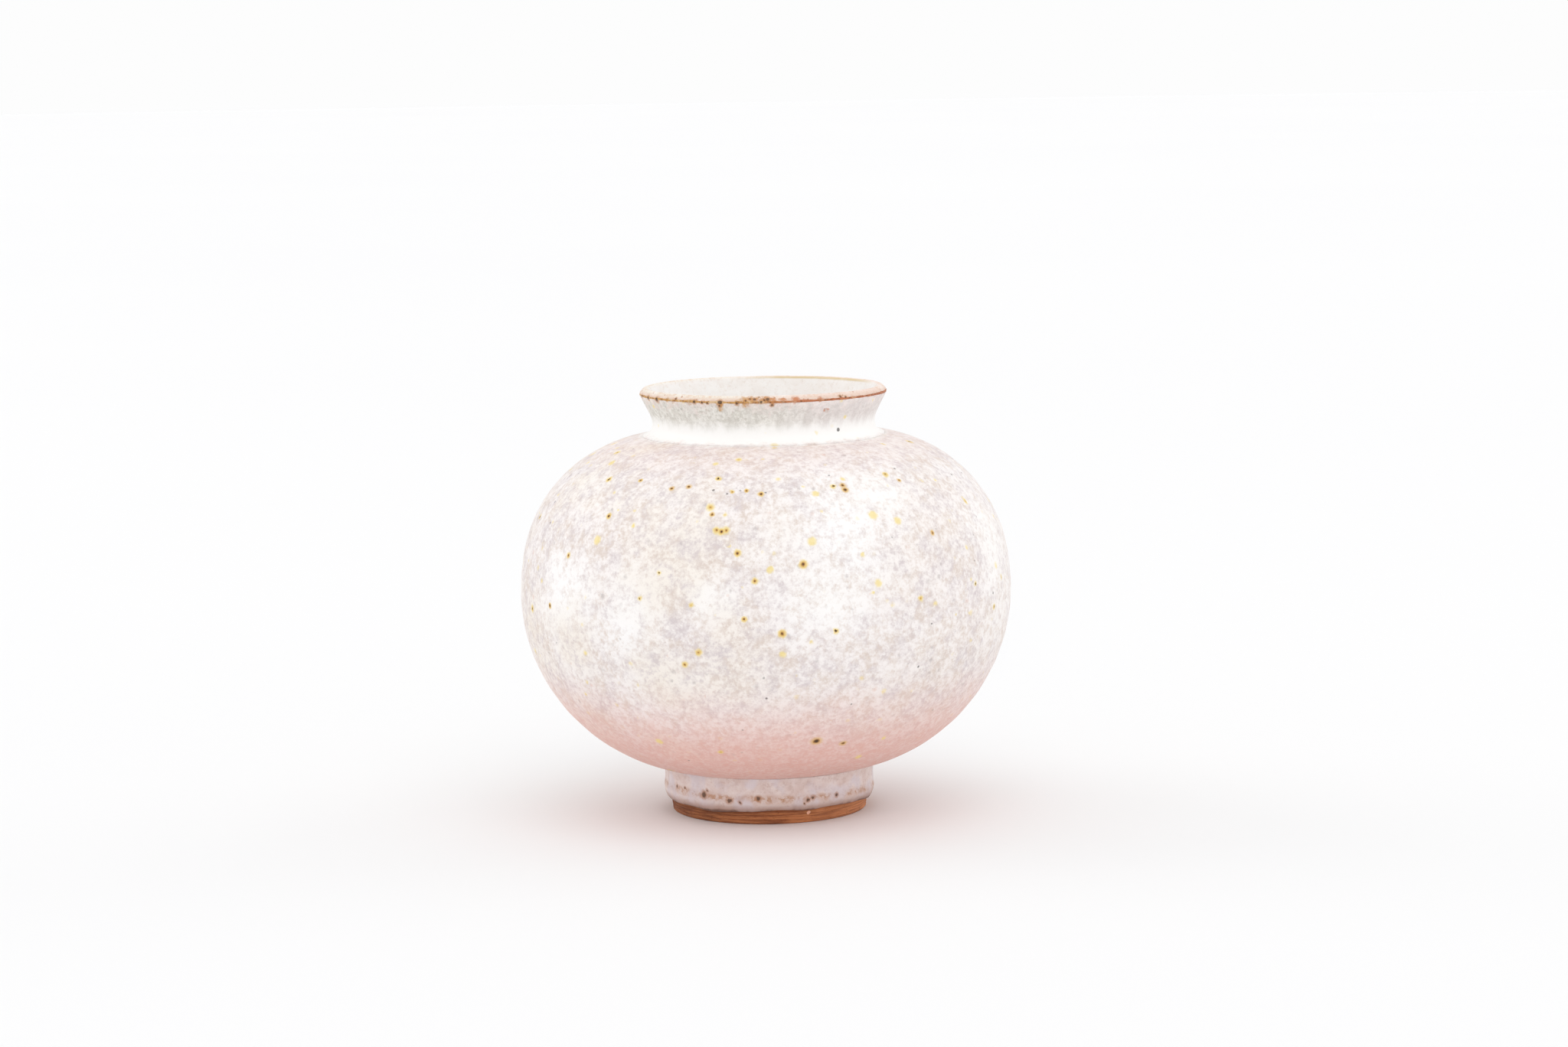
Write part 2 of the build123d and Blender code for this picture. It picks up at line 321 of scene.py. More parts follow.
class Finish:
    """A procedural material, with short calls for the nodes that it uses."""

    def __init__(self, name):
        """An empty material with its shader, and the place on the vase in millimetres."""
        self.material = bpy.data.materials.new(name)
        self.material.use_nodes = True
        self.tree = self.material.node_tree
        self.tree.nodes.clear()
        self.shader = self.tree.nodes.new("ShaderNodeBsdfPrincipled")
        output = self.tree.nodes.new("ShaderNodeOutputMaterial")
        self.tree.links.new(self.shader.outputs["BSDF"], output.inputs["Surface"])
        place_node = self.tree.nodes.new("ShaderNodeTexCoord")
        self.point = self.vector("SCALE", place_node.outputs["Object"], scale=1 / MM)
        split = self.tree.nodes.new("ShaderNodeSeparateXYZ")
        self.tree.links.new(self.point, split.inputs[0])
        self.x, self.y, self.z = split.outputs
        self.radius = self.maths("SQRT", self.blend(self.x, self.x, self.y, self.y))

    def put(self, socket, value):
        """Give a socket a value, or the output of another node."""
        if isinstance(value, bpy.types.NodeSocket):
            self.tree.links.new(value, socket)
        else:
            socket.default_value = value

    def maths(self, operation, a, b=0.0):
        """One operation on one or two values."""
        node = self.tree.nodes.new("ShaderNodeMath")
        node.operation = operation
        self.put(node.inputs[0], a)
        self.put(node.inputs[1], b)
        return node.outputs[0]

    def vector(self, operation, a, b=None, scale=None):
        """One operation on points, which gives a point or a distance."""
        node = self.tree.nodes.new("ShaderNodeVectorMath")
        node.operation = operation
        self.put(node.inputs[0], a)
        if b is not None:
            self.put(node.inputs[1], b)
        if scale is not None:
            self.put(node.inputs["Scale"], scale)
        return node.outputs["Value" if operation == "DISTANCE" else "Vector"]

    def join(self, x, y, z):
        """A point from its three coordinates."""
        node = self.tree.nodes.new("ShaderNodeCombineXYZ")
        for socket, value in zip(node.inputs, (x, y, z)):
            self.put(socket, value)
        return node.outputs[0]

    def wrapped(self, around, up):
        """The point with its distance from the axis taken out, stretched round and up."""
        scale_round = self.maths("DIVIDE", around, self.radius)
        return self.join(self.both(self.x, scale_round), self.both(self.y, scale_round),
                         self.both(self.z, up))

    def noise(self, size, detail=2.0, roughness=0.5, point=None, seed=0.0):
        """Noise from 0 to 1 with lumps of about a size in millimetres."""
        node = self.tree.nodes.new("ShaderNodeTexNoise")
        node.noise_dimensions = "4D"
        self.put(node.inputs["Vector"], self.point if point is None else point)
        node.inputs["W"].default_value = seed
        node.inputs["Scale"].default_value = 1 / size
        node.inputs["Detail"].default_value = detail
        node.inputs["Roughness"].default_value = roughness
        return node.outputs["Fac"]

    def cells(self, size, point=None, seed=0.0):
        """Distance to the nearest of many scattered points, and three numbers drawn for it."""
        node = self.tree.nodes.new("ShaderNodeTexVoronoi")
        shifted = self.vector("ADD", self.point if point is None else point,
                              (seed * 7.3, seed * 3.1, seed * 5.7))
        self.put(node.inputs["Vector"], shifted)
        node.inputs["Scale"].default_value = 1 / size
        colour = self.tree.nodes.new("ShaderNodeSeparateColor")
        self.tree.links.new(node.outputs["Color"], colour.inputs[0])
        return self.maths("MULTIPLY", node.outputs["Distance"], size), colour.outputs

    def step(self, value, low, high, out_low=0.0, out_high=1.0):
        """The value turned into a smooth step between two limits."""
        node = self.tree.nodes.new("ShaderNodeMapRange")
        node.interpolation_type = "SMOOTHSTEP"
        if low > high:
            low, high, out_low, out_high = high, low, out_high, out_low
        for socket, number in zip(node.inputs[:5], (value, low, high, out_low, out_high)):
            self.put(socket, number)
        return node.outputs[0]

    def both(self, *factors):
        """Product of the factors."""
        result = factors[0]
        for factor in factors[1:]:
            result = self.maths("MULTIPLY", result, factor)
        return result

    def either(self, *factors):
        """Largest of the factors."""
        result = factors[0]
        for factor in factors[1:]:
            result = self.maths("MAXIMUM", result, factor)
        return result

    def blend(self, first, first_share, second, second_share):
        """Sum of two values, each times its share."""
        return self.maths("ADD", self.both(first, first_share), self.both(second, second_share))

    def swing(self, value, reach, middle=0.5):
        """How far a value is from its middle, times a reach."""
        return self.both(self.maths("SUBTRACT", value, middle), reach)

    def apart(self, first, second):
        """Distance between two values."""
        return self.maths("ABSOLUTE", self.maths("SUBTRACT", first, second))

    def drawn(self, lot, share):
        """1 for a share of the scattered points and 0 for the others."""
        return self.maths("LESS_THAN", lot, share)

    def mix(self, factor, first, second):
        """The first colour, turned into the second by a factor."""
        node = self.tree.nodes.new("ShaderNodeMix")
        node.data_type = "RGBA"
        for index, value in ((0, factor), (6, first), (7, second)):
            self.put(node.inputs[index], value)
        return node.outputs[2]

    def shaken(self, size, reach):
        """The point moved about by noise, so that what is drawn with it is ragged."""
        shifts = [self.maths("SUBTRACT", self.noise(size, 2, 0.6, seed=seed), 0.5)
                  for seed in (3.0, 5.0, 6.0)]
        return self.vector("ADD", self.point, self.vector("SCALE", self.join(*shifts), scale=reach))

    def nearest(self, spots, point):
        """Distance to the nearest of named spots, each divided by its own size."""
        best = None
        for centre, size in spots:
            away = self.maths("DIVIDE", self.vector("DISTANCE", point, centre), size)
            best = away if best is None else self.maths("MINIMUM", best, away)
        return best

    def finish(self, colour, roughness, height, deep):
        """Join colour, roughness and a height map, which is deep millimetres from 0 to 1."""
        self.put(self.shader.inputs["Base Color"], colour)
        self.put(self.shader.inputs["Roughness"], roughness)
        bump = self.tree.nodes.new("ShaderNodeBump")
        bump.inputs["Strength"].default_value = 1.0
        bump.inputs["Distance"].default_value = deep * MM
        self.put(bump.inputs["Height"], height)
        self.tree.links.new(bump.outputs["Normal"], self.shader.inputs["Normal"])
        return self.material


MILK = srgb(254, 252, 251)
PALE = srgb(249, 243, 241)
WARM = srgb(248, 240, 229)
LILAC = srgb(214, 203, 204)
BEIGE = srgb(221, 206, 196)
# Pink of thin glaze over the clay, also used as painted bounce light low on the belly
THIN_GLAZE_AND_BOUNCE = srgb(232, 182, 170)
POOL = srgb(255, 254, 252)
YELLOW = srgb(245, 221, 122)
OCHRE = srgb(222, 178, 84)
TAN = srgb(172, 108, 44)
IRON = srgb(62, 40, 28)
BLACK = srgb(52, 46, 44)

# Iron spots that stand out on the side facing the camera: azimuth, height, size of the
# ochre round them and size of the dark core, where they have one
SPOTS = (
    (22.8, 33.3, 0.36, 0.24), (22.6, 33.7, 0.28, 0.22), (23.5, 34.2, 0.32, 0.0),
    (-10.6, 30.0, 0.50, 0.17), (-11.8, 30.1, 0.44, 0.15), (-9.4, 30.1, 0.44, 0.14),
    (-14.2, 32.1, 0.50, 0.16), (-13.4, 31.5, 0.26, 0.17), (-6.5, 28.1, 0.42, 0.17),
    (-2.5, 25.6, 0.40, 0.15), (8.5, 27.0, 0.50, 0.22), (3.4, 20.7, 0.50, 0.22),
    (-15.5, 18.9, 0.42, 0.16), (-19, 17.7, 0.40, 0.14), (11, 29.0, 0.50, 0.0),
    (28, 31.0, 0.55, 0.0), (34.5, 30.3, 0.48, 0.0), (-22, 33.8, 0.26, 0.20),
    (-27, 33.6, 0.24, 0.18), (-1, 33.2, 0.36, 0.19), (-5, 33.5, 0.30, 0.15),
    (-9, 33.4, 0.28, 0.12), (-43, 30.9, 0.38, 0.17), (-44, 28.7, 0.50, 0.0),
    (-59, 22.0, 0.30, 0.17), (-5, 22.1, 0.36, 0.15), (3.4, 18.7, 0.40, 0.0),
    (13.5, 9.6, 0.34, 0.36), (22, 9.1, 0.30, 0.26), (1, 26.6, 0.40, 0.0),
    (-33, 9.4, 0.46, 0.0), (37, 23.1, 0.36, 0.13), (-39, 34.1, 0.30, 0.15),
    (-53, 27.0, 0.36, 0.15), (44, 28.9, 0.28, 0.19), (42, 33.7, 0.24, 0.17),
    (-9, 36.0, 0.40, 0.12), (26, 24.9, 0.46, 0.0), (14, 33.1, 0.40, 0.0),
)

# Pale drifts, where the glaze lies thick: azimuth, height, reach
DRIFTS = ((20, 29, 7.5), (14, 23.5, 6.5), (30, 33, 6.0), (-52, 22, 7.0), (-33, 21.5, 6.0),
          (-14, 24.5, 3.5), (66, 27, 6.0), (140, 25, 8.0), (-130, 28, 7.0), (175, 20, 6.0))


def mottled_white(f):
    """The matt white glaze: fine mottling in lilac, beige and milk. Colour and mottling."""
    grain = f.noise(0.36, 3, 0.72, seed=2.2)
    mottle = f.noise(0.8, 3, 0.62, seed=4.1)
    patch = f.noise(3.0, 2, 0.5, seed=9.2)
    hue = f.noise(2.0, 3, 0.6, seed=7.7)
    warm = f.noise(9.0, 2, 0.5, seed=8.1)
    cloud = f.noise(11.0, 2, 0.5, seed=1.3)

    spread = f.shaken(5.0, 9.0)
    milky = f.step(cloud, 0.46, 0.74, 0.0, 0.6)
    for azimuth, height, reach in DRIFTS:
        away = f.vector("DISTANCE", spread, belly_surface(azimuth, height))
        milky = f.either(milky, f.step(away, reach * 1.15, 0.0))

    light = f.blend(grain, 0.52, mottle, 0.48)
    light = f.maths("ADD", light, f.swing(patch, 0.22))
    light = f.maths("ADD", light, f.both(milky, 0.07))
    shade = f.step(light, 0.62, 0.36)
    warm = f.both(f.step(warm, 0.40, 0.64, 0.0, 0.8), f.step(f.x, 6.0, -12.0, 0.2, 1.0))
    ground = f.mix(warm, f.mix(milky, PALE, MILK), WARM)
    tone = f.mix(f.step(hue, 0.36, 0.62), LILAC, BEIGE)
    colour = f.mix(f.both(shade, f.step(milky, 0.0, 1.0, 0.95, 0.75)), ground, tone)
    return colour, f.blend(grain, 0.6, mottle, 0.4)


def pooled(f):
    """How far the white pool round the neck covers the glaze, from 0 to 1."""
    wander = f.maths("ADD", f.noise(1.8, 3, 0.6, seed=6.3), f.noise(0.5, 2, 0.6, seed=8.3))
    edge = f.maths("ADD", f.radius, f.swing(wander, 1.5, middle=1.0))
    return f.both(f.step(edge, 12.4, 11.3), f.step(f.z, 30.0, 33.0))


# Soft tints: size of the cells they lie in, seed, share of the cells, colour, strength
TINTS = ((1.5, 11, 0.50, YELLOW, 0.95), (1.9, 12, 0.5, srgb(222, 178, 158), 0.5),
         (1.1, 13, 0.45, srgb(178, 168, 166), 0.65))


def faint_tints(f, colour, point):
    """Soft blurred spots under the glaze, in yellow, dusty pink and grey."""
    for size, seed, share, tint, strength in TINTS:
        away, lot = f.cells(size, point, seed=seed)
        chosen = f.drawn(lot[0], share)
        reach = f.maths("ADD", 0.16, f.both(lot[1], 0.24))
        soft = f.step(f.maths("DIVIDE", away, reach), 1.0, 0.1, 0.0, strength)
        colour = f.mix(f.both(chosen, soft, lot[2]), colour, tint)
    return colour


def belly_glaze_finish():
    """Matt white glaze over iron-bearing clay: mottling, pale drifts and iron spots."""
    f = Finish("speckled_white_glaze")
    colour, mottle = mottled_white(f)
    patch = f.noise(3.8, 3, 0.6, seed=5.5)
    ragged = f.shaken(0.4, 0.42)
    colour = faint_tints(f, colour, ragged)

    # Thinner, warmer glaze in a band under the neck; low on the belly the pink is partly thin
    # glaze, partly painted bounce light
    low = f.step(f.maths("ADD", f.z, f.both(patch, 3.0)), 18.2, 8.5, 0.0, 0.86)
    high = f.step(f.z, 33.5, 36.5, 0.0, 0.14)
    grainy = f.step(mottle, 0.36, 0.62, 1.12, 0.80)
    # Painted bounce light: the low pink is stronger on the side that faces the camera
    front = f.step(f.y, 8.0, -8.0, 0.6, 1.0)
    colour = f.mix(f.both(f.either(low, high), grainy, front), colour, THIN_GLAZE_AND_BOUNCE)
    colour = f.mix(pooled(f), colour, POOL)

    # Iron spots: fewer of the scattered ones lie in front, where the named ones are
    away, lot = f.cells(2.6, ragged, seed=1)
    upper = f.step(f.z, 10.0, 27.0, 0.35, 1.0)
    share = f.both(upper, f.step(f.y, -16.0, -8.0, 0.42, 0.60))
    chosen = f.drawn(lot[0], share)
    reach = f.maths("ADD", 0.26, f.both(lot[1], 0.26))
    loose = f.maths("DIVIDE", away, reach)
    cored = f.drawn(lot[2], 0.6)
    named = f.nearest([(belly_surface(a, h), halo) for a, h, halo, core in SPOTS], ragged)
    steady = f.shaken(0.4, 0.16)
    cores = f.nearest([(belly_surface(a, h), core) for a, h, halo, core in SPOTS if core], steady)
    halo = f.either(f.both(chosen, f.step(loose, 1.15, 0.45)), f.step(named, 1.2, 0.5))
    inner = f.either(f.both(chosen, cored, f.step(loose, 0.8, 0.3)), f.step(cores, 2.3, 1.0))
    core = f.either(f.both(chosen, cored, f.step(away, 0.17, 0.08)), f.step(cores, 1.0, 0.5))
    colour = f.mix(f.both(halo, 0.70), colour, YELLOW)
    colour = f.mix(f.both(inner, 0.65), colour, OCHRE)
    colour = f.mix(f.step(cores, 1.25, 0.8, 0.0, 0.7), colour, TAN)
    colour = f.mix(f.both(core, 0.95), colour, IRON)

    # Black pinpoints everywhere, and closer together in a row round the shoulder
    row_height = 33.4
    away, lot = f.cells(2.0, steady, seed=2)
    pin = f.both(f.drawn(lot[0], 0.55), f.step(away, 0.17, 0.07), lot[1])
    away, lot = f.cells(1.2, steady, seed=3)
    on_line = f.step(f.apart(f.z, row_height), 0.4, 0.2)
    row = f.both(on_line, f.drawn(lot[0], 0.35), f.step(away, 0.18, 0.08))
    pin = f.either(pin, row)
    colour = f.mix(f.both(pin, 0.75), colour, BLACK)

    pits = f.either(core, pin)
    height = f.maths("SUBTRACT", mottle, f.both(pits, 0.5))
    rough = f.maths("ADD", f.step(mottle, 0.3, 0.7, 0.62, 0.50), f.both(pits, 0.15))
    return f.finish(colour, rough, height, 0.03)


def rim_point(azimuth, height):
    """Point of the lip or the flare at an azimuth and a height."""
    line = np.array([flare_start, flare_end, polar(edge_centre, edge_round, 0), bevel_start,
                     bevel_end, polar(crown_centre, crown_round, 90)])
    return round_axis(azimuth, height, float(np.interp(height, line[:, 1], line[:, 0])))


def on_rim(spots):
    """Centres and sizes of spots that are given by azimuth, height and size."""
    return [(rim_point(azimuth, height), size) for azimuth, height, size in spots]


# Dark iron along the lip's edge, and the rust stains round it: azimuth, height, size
RIM_SPOTS = ((-77, 40.9, 0.20), (-67, 40.9, 0.24), (-58, 40.85, 0.28), (-44, 41.15, 0.15),
             (-33, 40.95, 0.22), (-29, 40.9, 0.15), (-26, 40.85, 0.14), (-20, 40.95, 0.28),
             (-20.5, 40.6, 0.16), (-12, 40.85, 0.15), (-8, 41.15, 0.15), (-6, 41.3, 0.14),
             (-4, 41.25, 0.19), (-1, 41.0, 0.16), (0.5, 41.2, 0.17), (2, 41.25, 0.24),
             (4, 40.65, 0.17), (38, 41.2, 0.18), (41, 41.1, 0.14))
RIM_STAINS = ((-20, 40.7, 0.34), (-20.5, 40.4, 0.30), (-20.5, 40.1, 0.20), (-12, 40.9, 0.35),
              (-9, 41.2, 0.40), (-5.5, 41.3, 0.45), (-2, 41.2, 0.40), (1, 41.25, 0.45),
              (4, 41.1, 0.40), (9, 41.15, 0.35), (15, 41.15, 0.40), (-8, 40.75, 0.40),
              (4, 40.7, 0.24), (31, 39.95, 0.28), (-50, 41.0, 0.3), (-36, 40.85, 0.3),
              (-46, 40.85, 0.25), (27, 41.1, 0.3))


def rusted(f, colour, line, width):
    """The lip's rusty edge over a colour: dotted ochre on the left, thin brick on the right.
    It follows a line at a height, and its width comes from noise times the one given."""
    ragged = f.shaken(0.4, 0.22)
    wander = f.noise(2.2, 3, 0.6, seed=3.1)
    fine = f.noise(0.45, 3, 0.7, seed=4.6)
    right = f.step(f.x, -3.0, 4.0)
    away = f.apart(f.z, line)
    outer = f.step(f.radius, 11.7, 11.85)
    half = f.both(f.maths("ADD", wander, fine), width)
    stain = f.both(outer, f.step(f.maths("DIVIDE", away, half), 1.5, 0.6))
    stain = f.both(stain, f.either(f.both(right, 0.9), f.step(fine, 0.42, 0.56, 0.35, 0.95)))
    torn = f.shaken(0.35, 0.55)
    spots = f.nearest(on_rim(RIM_STAINS), torn)
    stain = f.either(stain, f.both(f.step(spots, 1.35, 0.5), f.step(fine, 0.40, 0.54, 0.2, 1.0)))
    tone = f.mix(right, srgb(204, 154, 88), srgb(200, 122, 76))
    tone = f.mix(f.step(fine, 0.52, 0.40, 0.0, 0.7), tone, srgb(140, 82, 44))
    colour = f.mix(f.both(stain, 0.9), colour, tone)
    iron = f.nearest(on_rim(RIM_SPOTS), ragged)
    colour = f.mix(f.step(iron, 1.9, 0.9, 0.0, 0.65), colour, srgb(190, 130, 70))
    dark = f.step(iron, 0.95, 0.5)
    away, lot = f.cells(0.9, ragged, seed=6)
    speck = f.both(f.drawn(lot[0], 0.4), f.step(away, 0.19, 0.09), stain)
    return f.mix(f.both(f.either(dark, speck), 0.78), colour, srgb(78, 50, 30))


def neck_glaze_finish():
    """Glaze that has run off the lip and pooled white at the bottom of the neck."""
    f = Finish("run_and_pooled_glaze")
    shoulder = mottled_white(f)[0]
    runs = f.noise(0.7, 3, 0.6, f.wrapped(11.0, 0.4), seed=3.3)
    fine = f.noise(0.35, 3, 0.7, seed=5.4)
    grey = f.mix(f.step(fine, 0.34, 0.62), srgb(206, 203, 194), srgb(240, 239, 233))
    grey = f.mix(f.step(runs, 0.44, 0.62, 0.0, 0.5), grey, srgb(206, 203, 196))
    grey = f.mix(f.step(f.x, -2.0, 9.0, 0.0, 0.5), grey, srgb(229, 218, 220))
    level = f.maths("ADD", f.z, f.swing(runs, 1.6))
    colour = f.mix(f.step(level, 39.4, 37.9), grey, POOL)
    shoulder = f.mix(0.14, shoulder, THIN_GLAZE_AND_BOUNCE)
    below = f.maths("SUBTRACT", 1.0, pooled(f))
    colour = f.mix(below, colour, shoulder)
    away, lot = f.cells(1.3, f.shaken(0.4, 0.3), seed=15)
    tint = f.both(f.drawn(lot[0], 0.35), f.step(away, 0.30, 0.08), lot[1])
    stain = f.nearest([(round_axis(5, 36.95, 11.75), 0.55)], f.shaken(0.4, 0.6))
    colour = f.mix(f.either(tint, f.step(stain, 1.0, 0.2, 0.0, 0.5)), colour, YELLOW)
    colour = rusted(f, colour, 40.94, 0.06)
    away, lot = f.cells(2.0, seed=5)
    pin = f.both(f.drawn(lot[0], 0.5), f.step(away, 0.16, 0.08), lot[1])
    named = f.nearest([(round_axis(41, 37.9, neck_radius), 0.24)], f.shaken(0.4, 0.15))
    colour = f.mix(f.both(f.either(pin, f.step(named, 1.0, 0.6)), 0.8), colour, BLACK)
    height = f.blend(runs, 0.5, fine, 0.4)
    return f.finish(colour, f.step(fine, 0.3, 0.7, 0.56, 0.46), height, 0.02)


def lip_clay_finish():
    """Iron-rich clay burnt rust-brown where the glaze breaks at the lip's edge."""
    f = Finish("rust_brown_lip_clay")
    grain = f.noise(0.35, 4, 0.7, seed=1.1)
    patch = f.noise(1.1, 3, 0.6, seed=2.8)
    left = f.step(f.x, 4.0, -3.0)
    warm = f.mix(left, srgb(190, 116, 78), srgb(204, 156, 92))
    colour = f.mix(f.step(grain, 0.34, 0.56), srgb(134, 78, 42), warm)
    colour = f.mix(f.both(left, f.step(patch, 0.48, 0.60, 0.0, 0.7)), colour, srgb(226, 206, 172))
    colour = f.mix(f.step(patch, 0.52, 0.66, 0.0, 0.5), colour, srgb(222, 182, 146))
    ragged = f.shaken(0.4, 0.22)
    dark = f.step(f.nearest(on_rim(RIM_SPOTS), ragged), 1, 0.6)
    away, lot = f.cells(0.9, ragged, seed=6)
    speck = f.both(f.drawn(lot[0], 0.4), f.step(away, 0.2, 0.1))
    colour = f.mix(f.both(f.either(dark, speck), 0.82), colour, IRON)
    return f.finish(colour, f.step(grain, 0.3, 0.7, 0.75, 0.6), grain, 0.04)


def liner_finish():
    """Pinkish cream liner: thin and grainy over the lip, paler down the inside."""
    f = Finish("cream_liner_glaze")
    grain = f.noise(0.38, 4, 0.7, seed=4.4)
    patch = f.noise(2.4, 3, 0.6, seed=8.8)
    inside = f.mix(f.step(patch, 0.35, 0.65), srgb(254, 251, 248), srgb(249, 243, 238))
    inside = f.mix(f.step(grain, 0.50, 0.34, 0.0, 0.4), inside, srgb(232, 219, 208))
    pink = f.mix(f.step(f.x, -6.0, 5.0), srgb(243, 236, 224), srgb(242, 222, 212))
    lip = f.mix(f.step(grain, 0.58, 0.40, 0.0, 0.7), pink, srgb(228, 198, 174))
    lip = f.mix(f.step(patch, 0.50, 0.66, 0.0, 0.5), lip, srgb(249, 242, 236))
    outward = f.maths("SUBTRACT", f.radius, crown_centre[0])
    on_lip = f.both(f.step(f.z, 41.0, 41.35), f.step(outward, -0.45, -0.05))
    colour = f.mix(on_lip, inside, lip)

    # The glaze breaks tan on the inside edge at the back
    inner_edge = f.step(f.maths("ABSOLUTE", f.maths("ADD", outward, 0.28)), 0.16, 0.05)
    back = f.both(f.step(f.y, 2.0, 7.0), f.step(f.x, -3.0, 2.0), f.step(f.z, 41.2, 41.35))
    colour = f.mix(f.both(inner_edge, back, f.step(patch, 0.3, 0.6, 0.5, 1.0)), colour,
                   srgb(226, 204, 164))

    # Towards the outer edge it is thin, with grains of rust
    thin = f.maths("ADD", outward, f.swing(grain, 0.9))
    outside = f.both(f.step(thin, 0.28, 0.62, 0.0, 0.6), f.step(f.z, 39.8, 40.4))
    colour = f.mix(outside, colour, srgb(208, 156, 118))
    away, lot = f.cells(0.55, f.shaken(0.4, 0.3), seed=16)
    grains = f.both(f.drawn(lot[0], 0.40), f.step(away, 0.16, 0.05),
                    f.step(outward, 0.0, 0.25), f.step(f.z, 40.4, 40.8))
    colour = f.mix(f.both(grains, f.step(lot[1], 0.0, 1.0, 0.3, 0.8)), colour,
                   srgb(176, 110, 62))
    colour = rusted(f, colour, 40.98, 0.07)
    height = f.blend(grain, 0.7, patch, 0.3)
    return f.finish(colour, f.step(grain, 0.3, 0.7, 0.6, 0.5), height, 0.03)


# Iron on the foot, along the line between its rolls: azimuth, height, size
FOOT_SPOTS = ((-38, 2.75, 0.32), (-36, 3.2, 0.14), (-22, 2.4, 0.26), (-16, 2.25, 0.16),
              (-6, 2.7, 0.24), (21, 2.35, 0.20), (24, 2.6, 0.20), (19, 2.05, 0.14),
              (39, 2.5, 0.18), (-61, 3.0, 0.16), (-53, 3.05, 0.14), (110, 2.6, 0.24),
              (150, 2.6, 0.2), (-120, 2.8, 0.26), (-160, 2.6, 0.2))


def foot_glaze_finish():
    """Lavender-white glaze on the foot, thin and brown along the line between its rolls."""
    roll_radius = 10.3
    f = Finish("rolled_foot_glaze")
    soft = f.noise(1.3, 3, 0.6, seed=2.5)
    fine = f.noise(0.45, 3, 0.7, seed=6.5)
    wander = f.noise(2.6, 3, 0.6, seed=3.9)
    # The pink cast of this lavender-white is partly the glaze's own and partly painted bounce light
    colour = f.mix(f.step(soft, 0.26, 0.74), srgb(224, 203, 196), srgb(244, 233, 229))
    colour = f.mix(f.step(fine, 0.52, 0.32, 0.0, 0.5), colour, srgb(206, 180, 170))
    sag = f.both(f.x, 0.024)
    middle = f.maths("ADD", foot_arris[1] - 0.15, f.swing(wander, 0.5))
    middle = f.maths("SUBTRACT", middle, sag)
    away = f.apart(f.z, middle)
    thin = f.both(f.step(away, 0.60, 0.05), f.step(fine, 0.40, 0.60, 0.15, 0.9))
    colour = f.mix(thin, colour, srgb(190, 142, 108))
    lilac = f.noise(2.0, 2, 0.5, seed=9.4)
    colour = f.mix(f.step(lilac, 0.45, 0.65, 0.0, 0.6), colour, srgb(226, 220, 228))
    # Darker and browner towards the lower edge: partly thin glaze over the clay, partly painted
    # shade; the dark line along the edge is painted shadow over iron-dark clay
    low = f.maths("SUBTRACT", f.z, f.both(soft, 0.8))
    colour = f.mix(f.step(low, 1.9, 1.0, 0.0, 0.75), colour, srgb(170, 128, 108))
    colour = f.mix(f.step(low, 1.15, 0.85, 0.0, 0.8), colour, srgb(96, 56, 36))
    ragged = f.shaken(0.5, 0.4)
    placed = [(round_axis(a, h, roll_radius), size) for a, h, size in FOOT_SPOTS]
    spots = f.nearest(placed, ragged)
    colour = f.mix(f.step(spots, 2.0, 0.7, 0.0, 0.65), colour, srgb(178, 118, 74))
    away, lot = f.cells(1.0, ragged, seed=8)
    speck = f.both(f.drawn(lot[0], 0.4), f.step(away, 0.14, 0.06), thin)
    dark = f.either(f.step(spots, 1.0, 0.5), speck)
    colour = f.mix(f.both(dark, 0.84), colour, srgb(78, 50, 34))
    return f.finish(colour, f.step(fine, 0.3, 0.7, 0.52, 0.42), soft, 0.02)


def foot_clay_finish():
    """Bare reddish-brown stoneware with turning lines round it."""
    f = Finish("bare_turned_clay")
    around = f.join(f.both(f.x, 0.08), f.both(f.y, 0.08), f.both(f.z, 1.6))
    rings = f.noise(0.3, 4, 0.7, around, seed=6.6)
    grain = f.noise(0.3, 3, 0.7, seed=1.9)
    patch = f.noise(3.5, 3, 0.6, seed=7.2)
    colour = f.mix(f.step(rings, 0.40, 0.60), srgb(128, 70, 38), srgb(208, 134, 84))
    # Painted light and shade: the clay is lighter on the right, where the light falls, and darker
    # in painted shade on the left
    colour = f.mix(f.step(f.x, 0.0, 9.0, 0.0, 0.55), colour, srgb(218, 146, 100))
    colour = f.mix(f.step(f.x, 1.0, -9.0, 0.0, 0.45), colour, srgb(96, 52, 28))
    colour = f.mix(f.step(patch, 0.36, 0.62, 0.0, 0.35), colour, srgb(160, 92, 50))
    colour = f.mix(f.step(rings, 0.40, 0.28, 0.0, 0.7), colour, srgb(78, 42, 22))
    colour = f.mix(f.step(grain, 0.42, 0.28, 0.0, 0.5), colour, srgb(84, 46, 26))
    away, lot = f.cells(1.6, seed=9)
    grog = f.both(f.drawn(lot[0], 0.2), f.step(away, 0.16, 0.1))
    chip = f.nearest([(round_axis(23, 0.95, 9.7), 0.24)], f.shaken(0.3, 0.25))
    colour = f.mix(f.both(grog, 0.55), colour, srgb(214, 158, 122))
    colour = f.mix(f.step(chip, 1.0, 0.75), colour, srgb(242, 188, 160))
    height = f.blend(rings, 0.6, grain, 0.4)
    return f.finish(colour, f.step(grain, 0.3, 0.7, 0.85, 0.72), height, 0.05)


